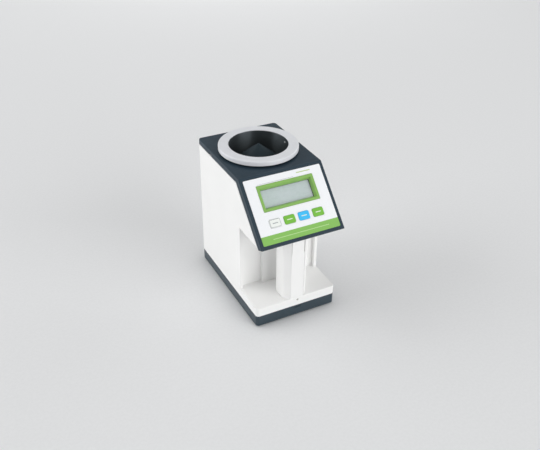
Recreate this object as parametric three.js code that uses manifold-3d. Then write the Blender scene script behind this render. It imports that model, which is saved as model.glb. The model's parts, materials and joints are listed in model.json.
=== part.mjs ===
// Bench-top grain moisture meter: white housing on a dark base, a lifting grip in front of a hand recess,
// a dark cover with a sloped key panel, and a weighed measuring cell with a cone-topped centre electrode.
// Millimetres, +Z up, front towards -Y. The origin is on the table, under the middle of the bounding box.

import * as THREE from 'three';
import { mergeVertices } from 'three/addons/utils/BufferGeometryUtils.js';
import Module from 'manifold-3d';

const wasm = await Module();
wasm.setup();

// ---------------------------------------------------------------- driving dimensions

const GAP = 0.3;                  // clearance between pieces that meet
const WALL = 2.6;                 // moulded wall thickness
const HALF = 62.5;                // half the body width
const FRONT = -88.4;              // front of base and platform
const BACK = 103.1;               // back of base, housing and cover
const CORNER = 5;                 // radius of the upright corners

const STAND = 1.5;                // how far the feet hold the base off the table
const BASE_TOP = 19.1;
const BASE_FLOOR = 3;
const PLATFORM_TOP = 32.5;
const RECESS_FRONT = -35.5;       // front edge of the side walls beside the hand recess
const RECESS_WALL = -29;          // the recess wall, set back from those edges
const FLANGE = 4.5;               // side wall thickness at the recess
const BOSS_HALF = 27.6;           // half width of the raised middle of the recess wall
const HEAD_BOTTOM = 136.5;

const TOP = 210;                  // top of the cover
const SKIRT_TOP = 8;              // depth of the cover's side skirt under the flat top
const SKIRT_PANEL = 11;           // and under the sloped panel
const FOLD_Y = -33.2;             // where the flat top turns into the sloped panel
const TILT = THREE.MathUtils.degToRad(45.3);   // slope of the panel
const PANEL_LENGTH = 99.4;        // fold to lower lip, along the slope

const GRIP_HALF = 18.3;
const GRIP_FACE = 10.9;           // half width of the grip's flat front
const GRIP_BACK = -50.5;

const DISPLAY = { halfWidth: 42.2, top: 14.8, bottom: 51, border: 3.4, bevel: 2.4, depth: 4 };
const KEY = { width: 16.2, height: 11.4, pitch: 21.5, row: 67.8, proud: 0.8, corner: 2 };
const LABEL = { halfWidth: 57.9, top: 4, bottom: 94.2, thickness: 0.5 };

const CELL_Y = 33.3;              // axis of the measuring cell
const CELL_RADIUS = 42.1;
const RING_RADIUS = 56.6;
const RING_TOP = 219.7;
const RING_BOTTOM = 212.9;
const CELL_FLOOR = 160;
const ELECTRODE_RADIUS = 25;
const CONE_BASE = 199.6;
const CONE_SLOPE = 0.82;
const CONE_TIP_RADIUS = 1.5;

const FOOT = { radius: 7, height: 2.6, x: 49, y: [-74, 89] };
const SCREW = { shank: 1.5, hole: 1.8, head: 2.8, headHeight: 1.9 };
const BASE_SCREW = { x: 49, y: [-50, 64], length: 22 };
const COVER_HOLE = 47.6;          // radius of the cover's hole round the cell
const COVER_SCREW = { x: 46, z: 192, length: 15 };
const GRIP_SCREW = { x: 1.5, z: 28.6, length: 9, shank: 0.8, hole: 1, head: 1.5 };
const NOTCH = { x: 1.5, half: 4.5, low: 14, high: 17, depth: 1.4 };

const DOOR = { half: 33, bottom: 28, top: 98, thickness: 2.2, gap: 0.4 };
const HINGE = { y: BACK - 2.1, z: DOOR.bottom + 2.5, radius: 2.1, pin: 1.2 };
const BATTERY = { radius: 7.1, length: 49.2, nub: 2.7, nubLength: 1.1, pitch: 15.4, y: 90, z: 63 };
const BATTERY_COUNT = 4;
const PLATE = { half: 22, bottom: 124, top: 150, thickness: 0.4 };

const FRAME_TOP = 118;            // steel plate that carries the load cell
const LOAD_CELL = { half: 6.35, front: -6.7, back: 73.3, bottom: 121.5 };
const BOARD = { half: 42, front: -14, back: 70, bottom: 12, thickness: 1.6 };
const PANEL_BOARD = { half: 52, top: 8, bottom: 86, depth: 12, thickness: 1.6 };

// ---------------------------------------------------------------- looks

function look(color, roughness, metalness) {
  return new THREE.MeshStandardMaterial({ color, roughness, metalness });
}

const LOOKS = {
  white: look(0xeceef1, 0.45, 0),
  dark: look(0x4a5962, 0.5, 0),
  rubber: look(0x222426, 0.9, 0),
  steel: look(0xb9bcbf, 0.35, 1),
  aluminium: look(0xc9ccce, 0.4, 1),
  brass: look(0xc7a456, 0.35, 1),
  label: look(0xf4f6f9, 0.4, 0),
  green: look(0x8cc05f, 0.4, 0),
  blue: look(0x55b8e6, 0.4, 0),
  lens: look(0xdfe8e8, 0.08, 0),
  lcd: look(0xb9cac5, 0.25, 0),
  board: look(0x1f6b45, 0.5, 0),
  black: look(0x1b1d1f, 0.5, 0),
  ring: look(0xd3d5da, 0.4, 0),
  cell: look(0x2b3338, 0.3, 0.2),
  holder: look(0x2a2c2e, 0.6, 0),
  battery: look(0x8d9298, 0.35, 0.4),
  ribbon: look(0xc4c6c8, 0.6, 0),
};

// ---------------------------------------------------------------- shape helpers

const WHOLE = 2 * Math.PI;

// A closed BufferGeometry as a manifold-3d solid.
function solid(geometry) {
  const bare = geometry.index ? geometry.toNonIndexed() : geometry.clone();
  bare.deleteAttribute('normal');
  bare.deleteAttribute('uv');
  const merged = mergeVertices(bare, 1e-4);
  const corners = merged.index.array;
  const kept = [];
  for (let i = 0; i < corners.length; i += 3) {
    const [a, b, c] = [corners[i], corners[i + 1], corners[i + 2]];
    if (a !== b && b !== c && c !== a) kept.push(a, b, c);
  }
  const vertProperties = new Float32Array(merged.attributes.position.array);
  return new wasm.Manifold(new wasm.Mesh({ numProp: 3, vertProperties, triVerts: new Uint32Array(kept) }));
}

// A solid back as a BufferGeometry.
function geometryOf(body) {
  const { vertProperties, triVerts } = body.getMesh();
  const geometry = new THREE.BufferGeometry();
  geometry.setAttribute('position', new THREE.BufferAttribute(vertProperties, 3));
  geometry.setIndex(new THREE.BufferAttribute(triVerts, 1));
  const flat = geometry.toNonIndexed();
  flat.computeVertexNormals();
  return flat;
}

const join = (first, ...others) => others.reduce((sum, next) => sum.add(next), first);
const cut = (first, ...others) => others.reduce((rest, next) => rest.subtract(next), first);

function box(x0, x1, y0, y1, z0, z1) {
  const geometry = new THREE.BoxGeometry(x1 - x0, y1 - y0, z1 - z0);
  return solid(geometry.translate((x0 + x1) / 2, (y0 + y1) / 2, (z0 + z1) / 2));
}

function roundedRectangle(x0, x1, y0, y1, radius) {
  const shape = new THREE.Shape();
  shape.moveTo(x0 + radius, y0);
  shape.lineTo(x1 - radius, y0);
  shape.absarc(x1 - radius, y0 + radius, radius, -Math.PI / 2, 0);
  shape.lineTo(x1, y1 - radius);
  shape.absarc(x1 - radius, y1 - radius, radius, 0, Math.PI / 2);
  shape.lineTo(x0 + radius, y1);
  shape.absarc(x0 + radius, y1 - radius, radius, Math.PI / 2, Math.PI);
  shape.lineTo(x0, y0 + radius);
  shape.absarc(x0 + radius, y0 + radius, radius, Math.PI, 1.5 * Math.PI);
  return shape;
}

function polygon(points) {
  return new THREE.Shape(points.map(([x, y]) => new THREE.Vector2(x, y)));
}

// An outline in X and Y, raised from z0 to z1, with its edges bevelled if asked.
function slab(shape, z0, z1, { bevel = 0, curveSegments = 4 } = {}) {
  const geometry = new THREE.ExtrudeGeometry(shape, {
    depth: z1 - z0 - 2 * bevel,
    curveSegments,
    bevelEnabled: bevel > 0,
    bevelThickness: bevel,
    bevelSize: bevel,
    bevelOffset: -bevel,
    bevelSegments: 1,
  });
  return solid(geometry.translate(0, 0, z0 + bevel));
}

// Turns shape axes (x, y, depth) into (Y, Z, X), for side views drawn in Y and Z.
const SIDEWAYS = new THREE.Matrix4().makeBasis(
  new THREE.Vector3(0, 1, 0), new THREE.Vector3(0, 0, 1), new THREE.Vector3(1, 0, 0));

// A side view in Y and Z, extruded across from x0 to x1.
function across(points, x0, x1) {
  const geometry = new THREE.ExtrudeGeometry(polygon(points), { depth: x1 - x0, bevelEnabled: false });
  return solid(geometry.translate(0, 0, x0).applyMatrix4(SIDEWAYS));
}

// A closed profile of [radius, height] points, turned about the vertical line at (x, y).
function turned(points, { x = 0, y = 0, segments = 48 } = {}) {
  const area = points.reduce((sum, [r, z], i) => {
    const [nextR, nextZ] = points[(i + 1) % points.length];
    return sum + r * nextZ - nextR * z;
  }, 0);
  const ordered = area > 0 ? points : [...points].reverse();
  const outline = [...ordered, ordered[0]].map(([r, z]) => new THREE.Vector2(r, z));
  const geometry = new THREE.LatheGeometry(outline, segments);
  return solid(geometry.rotateX(Math.PI / 2).translate(x, y, 0));
}

// A round bar between two points on a line along one axis: 'x', 'y' or 'z'.
function bar(axis, radius, centre, from, to, segments = 12) {
  const geometry = new THREE.CylinderGeometry(radius, radius, to - from, segments);
  const middle = (from + to) / 2;
  if (axis === 'x') return solid(geometry.rotateZ(Math.PI / 2).translate(middle, centre[0], centre[1]));
  if (axis === 'y') return solid(geometry.translate(centre[0], middle, centre[1]));
  return solid(geometry.rotateX(Math.PI / 2).translate(centre[0], centre[1], middle));
}

// ---------------------------------------------------------------- the panel's own frame

// X is across the panel, -Y runs down the slope from the fold, and Z stands out of it.
const panel = new THREE.Group();
panel.position.set(0, FOLD_Y, TOP);
panel.rotation.x = TILT;
panel.updateMatrix();

const onPanel = (geometry) => solid(geometry.applyMatrix4(panel.matrix));

// A point t down the slope and d under the panel's surface, as [Y, Z] in the body's frame.
function panelPoint(t, d) {
  const point = new THREE.Vector3(0, -t, -d).applyMatrix4(panel.matrix);
  return [point.y, point.z];
}

const pieces = new THREE.Group();
pieces.add(panel);

function addTo(group, name, body, material) {
  const mesh = new THREE.Mesh(geometryOf(body), material);
  mesh.name = name;
  group.add(mesh);
}

const add = (name, body, material) => addTo(pieces, name, body, material);
const addToPanel = (name, body, material) => addTo(panel, name, body, material);

// ---------------------------------------------------------------- fasteners

// A pan-head screw, head down, with the head's underside at z and its shank going up.
function screwUp(x, y, z, length) {
  const { shank, head, headHeight } = SCREW;
  return turned([[0, z - headHeight], [head - 0.6, z - headHeight], [head, z - headHeight + 0.6], [head, z],
    [shank, z], [shank, z + length], [0, z + length]], { x, y, segments: 12 });
}

// A screw driven along +Y or -Y, its head in a countersink at the face.
function screwAlongY(x, z, face, direction, length, { shank, head } = SCREW) {
  const taper = 0.6 + (head - shank) * 0.7;
  const profile = [[0, 0], [head, 0], [head, 0.6], [shank, taper], [shank, length], [0, length]];
  const geometry = new THREE.LatheGeometry(profile.map(([r, h]) => new THREE.Vector2(r, h)), 12);
  if (direction < 0) geometry.rotateX(Math.PI);
  return solid(geometry.translate(x, face, z));
}

function countersinkAlongY(x, z, face, direction, length, { head, hole } = SCREW) {
  const deep = direction > 0 ? [face, face + 1.8] : [face - 1.8, face];
  const through = direction > 0 ? [face, face + length] : [face - length, face];
  const sink = direction > 0 ? [deep[0] - 1, deep[1]] : [deep[0], deep[1] + 1];
  return join(bar('y', head + GAP, [x, z], ...sink), bar('y', hole, [x, z], ...through));
}

// ---------------------------------------------------------------- base

const BASE_SCREW_SEAT = 5.6;      // height of the base screws' head undersides
const screwPlaces = BASE_SCREW.y.flatMap((y) => [[-BASE_SCREW.x, y], [BASE_SCREW.x, y]]);
const footPlaces = FOOT.y.flatMap((y) => [[-FOOT.x, y], [FOOT.x, y]]);
const BOARD_INSET = 5;            // how far the board's posts stand in from its edges
const boardPlaces = [BOARD.front + BOARD_INSET, BOARD.back - BOARD_INSET].flatMap(
  (y) => [[-BOARD.half + BOARD_INSET, y], [BOARD.half - BOARD_INSET, y]]);

function baseTray() {
  const floorTop = STAND + BASE_FLOOR;
  const outline = roundedRectangle(-HALF, HALF, FRONT, BACK, CORNER);
  const hollow = roundedRectangle(-HALF + WALL, HALF - WALL, FRONT + WALL, BACK - WALL, CORNER - WALL);
  let tray = slab(outline, STAND, BASE_TOP + 5, { bevel: 1.4 }).intersect(
    box(-100, 100, -150, 150, 0, BASE_TOP));
  tray = tray.subtract(slab(hollow, floorTop, BASE_TOP + 1));
  for (const [x, y] of screwPlaces) {
    tray = join(tray, bar('z', 5, [x, y], floorTop - 1, 16));
    tray = cut(tray, bar('z', SCREW.head + 0.6, [x, y], 0, 6), bar('z', SCREW.hole, [x, y], 0, 17));
  }
  for (const [x, y] of boardPlaces) {
    const post = bar('z', 3, [x, y], floorTop - 1, BOARD.bottom - GAP, 12);
    tray = join(tray, post);
  }
  for (const [x, y] of footPlaces) {
    tray = cut(tray, bar('z', FOOT.radius + GAP, [x, y], 0, FOOT.height + GAP, 16));
  }
  const { x, half, low, high, depth } = NOTCH;
  return cut(tray, box(x - half, x + half, FRONT - 1, FRONT + depth, low, high));
}

function foot(x, y) {
  const { radius, height } = FOOT;
  const profile = [[0, 0], [radius - 0.6, 0], [radius, 0.6], [radius, height], [0, height]];
  return turned(profile, { x, y, segments: 20 });
}

// ---------------------------------------------------------------- housing

const BATTERY_MOUTH = { x: DOOR.half + DOOR.gap, z0: DOOR.bottom, z1: DOOR.top };

function housingWalls() {
  const low = panelPoint(PANEL_LENGTH - 7.1, SKIRT_PANEL + GAP);
  const top = TOP - SKIRT_TOP - GAP;
  const [slopeY, slopeZ] = panelPoint(0, SKIRT_PANEL + GAP);
  const topY = slopeY + (top - slopeZ) / Math.tan(TILT);
  const bottom = BASE_TOP + GAP;
  const outline = [[BACK, bottom], [BACK, top], [topY, top], [low[0], HEAD_BOTTOM],
    [RECESS_FRONT, HEAD_BOTTOM], [RECESS_FRONT, PLATFORM_TOP], [FRONT, PLATFORM_TOP], [FRONT, bottom]];
  const outer = across(outline, -HALF, HALF);
  const lower = slab(roundedRectangle(-HALF, HALF, FRONT, BACK, CORNER), 0, PLATFORM_TOP + 20);
  const upper = slab(roundedRectangle(-HALF, HALF, FRONT - 40, BACK, CORNER), PLATFORM_TOP + 20, TOP);
  return outer.intersect(join(lower, upper));
}

function housingHollow() {
  const behind = RECESS_WALL + WALL;
  const [far, high] = [2 * FRONT, TOP + 90];
  const outline = [[BACK - WALL, 0], [BACK - WALL, high], [far, high], [far, HEAD_BOTTOM + WALL],
    [behind, HEAD_BOTTOM + WALL], [behind, PLATFORM_TOP - WALL], [FRONT + WALL, PLATFORM_TOP - WALL],
    [FRONT + WALL, 0]];
  const hollow = across(outline, -HALF + WALL, HALF - WALL);
  const pillarHollow = box(-BOSS_HALF + WALL, BOSS_HALF - WALL, RECESS_FRONT + WALL, behind + 1,
    PLATFORM_TOP - WALL, HEAD_BOTTOM + WALL);
  return join(hollow, pillarHollow);
}

function mainHousing() {
  let shell = cut(housingWalls(), housingHollow());
  for (const side of [-1, 1]) {
    const [x0, x1] = [side * BOSS_HALF, side * (HALF - FLANGE)].sort((a, b) => a - b);
    shell = cut(shell, box(x0, x1, RECESS_FRONT - 1, RECESS_WALL, PLATFORM_TOP, HEAD_BOTTOM));
  }
  for (const [x, y] of screwPlaces) {
    const side = Math.sign(x);
    const [x0, x1] = [x, side * (HALF - WALL + 0.5)].sort((a, b) => a - b);
    const top = y < RECESS_FRONT ? PLATFORM_TOP - 1 : 42;
    const rib = box(x0, x1, y - 1.5, y + 1.5, BASE_TOP + GAP, top);
    shell = join(shell, bar('z', 4.2, [x, y], BASE_TOP + GAP, top), rib);
    shell = cut(shell, bar('z', SCREW.hole, [x, y], 0, 30.5));
  }
  for (const x of [-HALF + WALL - 0.5, HALF - WALL - 5.5]) {
    for (const y of [4, 66]) {
      shell = join(shell, box(x, x + 6, y - 6, y + 6, FRAME_TOP - 10, FRAME_TOP - 2 - GAP));
    }
  }
  return cut(join(shell, hingeEars(), gripLug()), batteryMouth(), plateRecess(), ...coverScrewHoles(),
    gripScrewHole());
}

function hingeEars() {
  const { y, z, radius } = HINGE;
  const inner = BATTERY_MOUTH.x;
  const ear = (x0, x1) => cut(box(x0, x1, y - radius - 2, BACK - 1, z - 4, z + 4),
    bar('x', HINGE.pin + GAP, [y, z], -inner - 3, inner + 3));
  return join(ear(-inner - 4, -inner), ear(inner, inner + 4));
}

function batteryMouth() {
  const { x, z0, z1 } = BATTERY_MOUTH;
  return join(box(-x, x, BACK - 8, BACK + 1, z0, z1),
    bar('x', HINGE.pin + GAP, [HINGE.y, HINGE.z], -x - 3, x + 3));
}

function plateRecess() {
  return box(-PLATE.half - GAP, PLATE.half + GAP, BACK - PLATE.thickness - GAP, BACK + 1,
    PLATE.bottom - GAP, PLATE.top + GAP);
}

function coverScrewHoles() {
  return [-COVER_SCREW.x, COVER_SCREW.x].map(
    (x) => countersinkAlongY(x, COVER_SCREW.z, BACK, -1, COVER_SCREW.length));
}

// The screw below the grip goes into a lug that hangs from the platform.
function gripLug() {
  const { x, z } = GRIP_SCREW;
  return box(x - 5, x + 5, FRONT + 1, FRONT + 11, z - 4.5, PLATFORM_TOP - 1);
}

function gripScrewHole() {
  return countersinkAlongY(GRIP_SCREW.x, GRIP_SCREW.z, FRONT, 1, GRIP_SCREW.length, GRIP_SCREW);
}

// ---------------------------------------------------------------- grip

function gripOutline(inset) {
  const half = GRIP_HALF - inset;
  const front = FRONT + inset;
  const back = GRIP_BACK - inset;
  const chamfer = GRIP_HALF - GRIP_FACE - inset * 0.4;
  const round = 13 - inset;
  const shape = new THREE.Shape();
  shape.moveTo(-half + chamfer, front);
  shape.lineTo(half - chamfer, front);
  shape.lineTo(half, front + chamfer);
  shape.lineTo(half, back - round);
  shape.absarc(half - round, back - round, round, 0, Math.PI / 2);
  shape.lineTo(-half + round, back);
  shape.absarc(-half + round, back - round, round, Math.PI / 2, Math.PI);
  shape.lineTo(-half, front + chamfer);
  return shape;
}

const GRIP_Z = [PLATFORM_TOP + GAP, HEAD_BOTTOM - GAP];
const INLAY = { half: 10.2, depth: 2.4 };

function gripColumn() {
  const body = slab(gripOutline(0), ...GRIP_Z);
  const core = slab(gripOutline(5), GRIP_Z[0] - 1, GRIP_Z[1] + 1);
  const rebate = box(-INLAY.half - GAP, INLAY.half + GAP, FRONT - 1, FRONT + INLAY.depth + GAP,
    GRIP_Z[0] - 1, GRIP_Z[1] + 1);
  return cut(body, core, rebate);
}

function gripCover() {
  const plate = box(-INLAY.half, INLAY.half, FRONT, FRONT + INLAY.depth, ...GRIP_Z);
  const slots = [-1, 1].map((side) => {
    const edge = side * INLAY.half;
    return box(edge - 1, edge + 1, FRONT - 1, FRONT + 1.4, 108, HEAD_BOTTOM);
  });
  return cut(plate, ...slots);
}

// ---------------------------------------------------------------- cover

// The inner corner of the lower lip: how far down the slope, and how far under it.
const LIP = [PANEL_LENGTH - 4, SKIRT_PANEL];

function coverProfile() {
  const [skirtY, skirtZ] = panelPoint(0, SKIRT_PANEL);
  const bottom = TOP - SKIRT_TOP;
  return [[BACK, bottom], [BACK, TOP], [FOLD_Y, TOP], panelPoint(PANEL_LENGTH, 0), panelPoint(...LIP),
    [skirtY + (bottom - skirtZ) / Math.tan(TILT), bottom]];
}

function coverHollow() {
  const inner = panelPoint(PANEL_LENGTH - 3, WALL);
  const foldInner = FOLD_Y + WALL * Math.tan(TILT / 2);
  return across([[BACK - WALL, 0], [BACK - WALL, TOP - WALL], [foldInner, TOP - WALL], inner,
    panelPoint(LIP[0] - 2.7, LIP[1] + 0.2), panelPoint(LIP[0] - 2.7, 60)], -HALF + WALL, HALF - WALL);
}

// A rounded block in the panel's frame: half width, t0 to t1 down the slope, d0 to d1 under it.
function panelBlock(half, t0, t1, d0, d1, radius, x = 0) {
  const shape = roundedRectangle(x - half, x + half, -t1, -t0, radius);
  const options = { depth: d1 - d0, bevelEnabled: false, curveSegments: 2 };
  const geometry = new THREE.ExtrudeGeometry(shape, options);
  return geometry.translate(0, 0, -d1);
}

const keyPlaces = [-1.5, -0.5, 0.5, 1.5].map((step) => step * KEY.pitch);
const keySpan = [KEY.row - KEY.height / 2, KEY.row + KEY.height / 2];

// The hole for a key, a little larger than the key all round.
function keyHole(x, d0, d1) {
  return panelBlock(KEY.width / 2 + GAP, keySpan[0] - GAP, keySpan[1] + GAP, d0, d1, KEY.corner + GAP, x);
}

const PANEL_BOARD_FRONT = PANEL_BOARD.depth - PANEL_BOARD.thickness;
const postPlaces = [[-48, 12], [48, 12], [-48, 81], [48, 81]];

// The hole for the display's frame, from above the panel down to a depth.
function displayOpening(depth) {
  const { halfWidth, top, bottom } = DISPLAY;
  return panelBlock(halfWidth + GAP, top - GAP, bottom + GAP, -1, depth, 1);
}

function topCover() {
  const plan = slab(roundedRectangle(-HALF, HALF, 2 * FRONT, BACK, CORNER), HEAD_BOTTOM - 10, TOP + 1);
  let cover = across(coverProfile(), -HALF, HALF).intersect(plan).subtract(coverHollow());
  for (const x of [-COVER_SCREW.x, COVER_SCREW.x]) {
    const lug = box(x - 5, x + 5, BACK - WALL - 16, BACK - WALL - GAP, COVER_SCREW.z - 5, TOP - 1);
    cover = join(cover, lug);
    cover = cut(cover, bar('y', SCREW.hole, [x, COVER_SCREW.z], BACK - 40, BACK));
  }
  for (const [x, t] of postPlaces) {
    const post = panelBlock(2.6, t - 2.6, t + 2.6, WALL - 1, PANEL_BOARD_FRONT - GAP, 1, x);
    cover = join(cover, onPanel(post));
  }
  const labelRecess = panelBlock(LABEL.halfWidth + 0.1, LABEL.top - 0.1, LABEL.bottom + 0.1,
    -1, LABEL.thickness + GAP, 1.5);
  cover = cut(cover, bar('z', COVER_HOLE, [0, CELL_Y], TOP - 10, TOP + 1, 64), onPanel(labelRecess),
    onPanel(displayOpening(6)), ...keyPlaces.map((x) => onPanel(keyHole(x, -1, 6))));
  const notch = (x0, x1) => box(x0, x1, 56, 64, TOP - SKIRT_TOP - 1, TOP - SKIRT_TOP + 2);
  return cut(cover, notch(-HALF - 1, -HALF + 1.4), notch(HALF - 1.4, HALF + 1));
}

// ---------------------------------------------------------------- panel pieces, in the panel's frame

function panelLabel() {
  const { halfWidth, top, bottom, thickness } = LABEL;
  const sheet = solid(panelBlock(halfWidth - 0.2, top + 0.2, bottom - 0.2, 0, thickness, 1.5));
  return cut(sheet, solid(displayOpening(2)), ...keyPlaces.map((x) => solid(keyHole(x, -1, 2))));
}

// The frame's window narrows towards the display: a frustum between two rectangles.
function displayBezel() {
  const { halfWidth, top, bottom, border, bevel, depth } = DISPLAY;
  const frame = solid(panelBlock(halfWidth, top, bottom, -0.3, depth, 0.8));
  const width = 2 * (halfWidth - border);
  const height = bottom - top - 2 * border;
  const flare = new THREE.CylinderGeometry(Math.SQRT1_2, Math.SQRT1_2, 1, 4, 1).rotateY(Math.PI / 4);
  flare.rotateX(Math.PI / 2);
  const position = flare.attributes.position;
  for (let i = 0; i < position.count; i += 1) {
    const near = position.getZ(i) > 0;
    const shrink = near ? 0 : 2 * bevel;
    position.setXYZ(i, position.getX(i) * (width - shrink), position.getY(i) * (height - shrink),
      near ? 0.301 : -depth - 0.001);
  }
  return cut(frame, solid(flare.translate(0, -(top + bottom) / 2, 0)));
}

function displayWindow() {
  const { halfWidth, top, bottom, depth } = DISPLAY;
  const inset = 1.5;
  return solid(panelBlock(halfWidth - inset, top + inset, bottom - inset, depth + GAP, depth + 1.5, 0.8));
}

function displayModule() {
  const { halfWidth, top, bottom, depth } = DISPLAY;
  const inset = 0.8;
  return solid(panelBlock(halfWidth - inset, top + inset, bottom - inset, depth + 1.8,
    PANEL_BOARD_FRONT - GAP, 0.6));
}

function panelBoard() {
  const { half, top, bottom, depth, thickness } = PANEL_BOARD;
  return solid(panelBlock(half, top, bottom, depth - thickness, depth, 2));
}

// A key cap that comes up through the cover, with a flange that stops behind it and a stem for its switch.
function keyCap(x) {
  const { width, height, row, proud, corner } = KEY;
  const capShape = roundedRectangle(x - width / 2, x + width / 2, -row - height / 2, -row + height / 2,
    corner);
  const cap = slab(capShape, -WALL - 0.8, proud, { bevel: 0.4, curveSegments: 2 });
  const flange = solid(panelBlock(width / 2 + 1.2, row - height / 2 - 1.2, row + height / 2 + 1.2,
    WALL + GAP, WALL + GAP + 0.8, 1, x));
  const stem = bar('z', 2, [x, -row], -WALL - GAP - 2.2, -WALL - 0.5, 12);
  return join(cap, flange, stem);
}

function keySwitch(x) {
  const back = -PANEL_BOARD.depth + PANEL_BOARD.thickness + GAP;
  const body = box(x - 3, x + 3, -KEY.row - 3, -KEY.row + 3, back, back + 3.4);
  return join(body, bar('z', 1.6, [x, -KEY.row], back + 3, back + 4, 12));
}

// ---------------------------------------------------------------- measuring cell

const aboutCell = (points, segments = 48) => turned(points, { y: CELL_Y, segments });
const WALL_TOP = RING_TOP - 1.1;
const CELL_OUTER = CELL_RADIUS + 2;
const PIN_Z = RING_TOP - 7.7;

function cellRing() {
  return aboutCell([[CELL_RADIUS, WALL_TOP + GAP], [CELL_RADIUS, RING_TOP - 0.3],
    [CELL_RADIUS + 0.4, RING_TOP], [RING_RADIUS - 1.4, RING_TOP], [RING_RADIUS, RING_TOP - 1.6],
    [RING_RADIUS, RING_BOTTOM + 1],
    [RING_RADIUS - 0.8, RING_BOTTOM], [CELL_OUTER + GAP, RING_BOTTOM], [CELL_OUTER + GAP, WALL_TOP + GAP]]);
}

function cellWall() {
  const bottom = CELL_FLOOR - 3;
  const tube = aboutCell([[CELL_RADIUS, bottom], [CELL_OUTER, bottom], [CELL_OUTER, WALL_TOP],
    [CELL_RADIUS, WALL_TOP]]);
  const holes = bar('x', 1.5, [CELL_Y, PIN_Z], -60, 60, 12);
  return cut(tube, holes);
}

// A small pin near the top of the cell wall; its end shows inside the cell.
function cellPin(side) {
  const near = side * (CELL_RADIUS - 0.3);
  const far = side * (CELL_OUTER - 0.1);
  const [from, to] = [near, far].sort((a, b) => a - b);
  return bar('x', 1.2, [CELL_Y, PIN_Z], from, to, 12);
}

function cellFloor() {
  const low = CELL_FLOOR - 3 - GAP;
  const fit = CELL_RADIUS - GAP;
  return aboutCell([[0, low - 3.7], [CELL_OUTER + 1.9, low - 3.7], [CELL_OUTER + 1.9, low], [fit, low],
    [fit, CELL_FLOOR], [0, CELL_FLOOR]]);
}

function centreElectrode() {
  const top = CONE_BASE - 1.3;
  const bottom = CELL_FLOOR + GAP;
  const radius = ELECTRODE_RADIUS;
  return aboutCell([[radius - 2.4, bottom], [radius, bottom], [radius, top], [0, top], [0, top - 2.4],
    [radius - 2.4, top - 2.4]], 32);
}

function coneCap() {
  const foot = CONE_BASE - 1;
  const tipZ = CONE_BASE + CONE_SLOPE * (ELECTRODE_RADIUS - CONE_TIP_RADIUS);
  const ballZ = tipZ - CONE_TIP_RADIUS / CONE_SLOPE;
  const ballRadius = CONE_TIP_RADIUS * Math.hypot(1, 1 / CONE_SLOPE);
  const points = [[0, foot], [ELECTRODE_RADIUS, foot], [ELECTRODE_RADIUS, CONE_BASE],
    [CONE_TIP_RADIUS, tipZ]];
  for (const angle of [60, 75]) {
    const turn = THREE.MathUtils.degToRad(angle);
    points.push([ballRadius * Math.cos(turn), ballZ + ballRadius * Math.sin(turn)]);
  }
  points.push([0, ballZ + ballRadius]);
  return aboutCell(points, 32);
}

// The probe stands to the back right, half way between the electrode and the wall.
const PROBE_OFFSET = 33 * Math.SQRT1_2;

function temperatureProbe() {
  const low = CELL_FLOOR + GAP;
  return turned([[0, low], [1.6, low], [1.6, low + 17], [0.9, low + 18.2], [0, low + 18.6]],
    { x: PROBE_OFFSET, y: CELL_Y + PROBE_OFFSET, segments: 12 });
}

const CARRIER = { bottom: 149.3, thickness: 3.1 };

function cellCarrier() {
  const plate = slab(roundedRectangle(-24, 24, CELL_Y - 38, CELL_Y + 38, 6), CARRIER.bottom,
    CARRIER.bottom + CARRIER.thickness);
  const [x, y] = [18, 30];
  const holes = [[-x, -y], [x, -y], [-x, y], [x, y]].map(
    ([dx, dy]) => bar('z', 2, [dx, CELL_Y + dy], CARRIER.bottom - 5, CARRIER.bottom + 5, 12));
  return cut(plate, ...holes);
}

// ---------------------------------------------------------------- load cell and its frame

const LOAD_CELL_TOP = LOAD_CELL.bottom + 2 * LOAD_CELL.half;

function loadCell() {
  const { half, front, back, bottom } = LOAD_CELL;
  const middle = [(front + back) / 2, bottom + half];
  const body = box(-half, half, front, back, bottom, LOAD_CELL_TOP);
  const eyes = [-8, 8].map((dy) => bar('x', 4.4, [middle[0] + dy, middle[1]], -10, 10, 20));
  return cut(body, ...eyes, box(-10, 10, middle[0] - 8, middle[0] + 8, middle[1] - 1.6, middle[1] + 1.6));
}

function cellSpacer() {
  return box(-6.5, 6.5, LOAD_CELL.back - 18, LOAD_CELL.back - 2, LOAD_CELL_TOP + 0.9, CARRIER.bottom - GAP);
}

function loadCellFoot() {
  return box(-7, 7, LOAD_CELL.front + 2, LOAD_CELL.front + 18, FRAME_TOP + GAP, LOAD_CELL.bottom - GAP);
}

// A folded steel plate across the housing, with a flange down at its front and back.
function innerFrame() {
  const half = HALF - WALL - 0.6;
  const [front, back, thickness] = [-18, 76, 2];
  const plate = box(-half, half, front, back, FRAME_TOP - thickness, FRAME_TOP);
  const flange = (y) => box(-half + 8, half - 8, y, y + 1.5, FRAME_TOP - 12, FRAME_TOP - 1);
  return cut(join(plate, flange(front), flange(back - 1.5)),
    box(-34, -16, 10, 56, FRAME_TOP - 5, FRAME_TOP + 1), box(16, 34, 10, 56, FRAME_TOP - 5, FRAME_TOP + 1));
}

// ---------------------------------------------------------------- electronics

function mainBoard() {
  const outline = roundedRectangle(-BOARD.half, BOARD.half, BOARD.front, BOARD.back, 2);
  return slab(outline, BOARD.bottom, BOARD.bottom + BOARD.thickness, { curveSegments: 2 });
}

const BOARD_FACE = BOARD.bottom + BOARD.thickness + GAP;

const processor = () => slab(roundedRectangle(-26, -12, 20, 34, 0.6), BOARD_FACE, BOARD_FACE + 2,
  { bevel: 0.3, curveSegments: 1 });

function buzzer() {
  const [low, hole, high] = [BOARD_FACE, BOARD_FACE + 5, BOARD_FACE + 8];
  return turned([[1.4, hole], [1.4, high], [6, high], [6, low], [0, low], [0, hole]],
    { x: 26, y: 50, segments: 20 });
}

const RIBBON = { half: 7, thickness: 0.8, dropY: -21.4, plugY: -8.2 };

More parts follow.
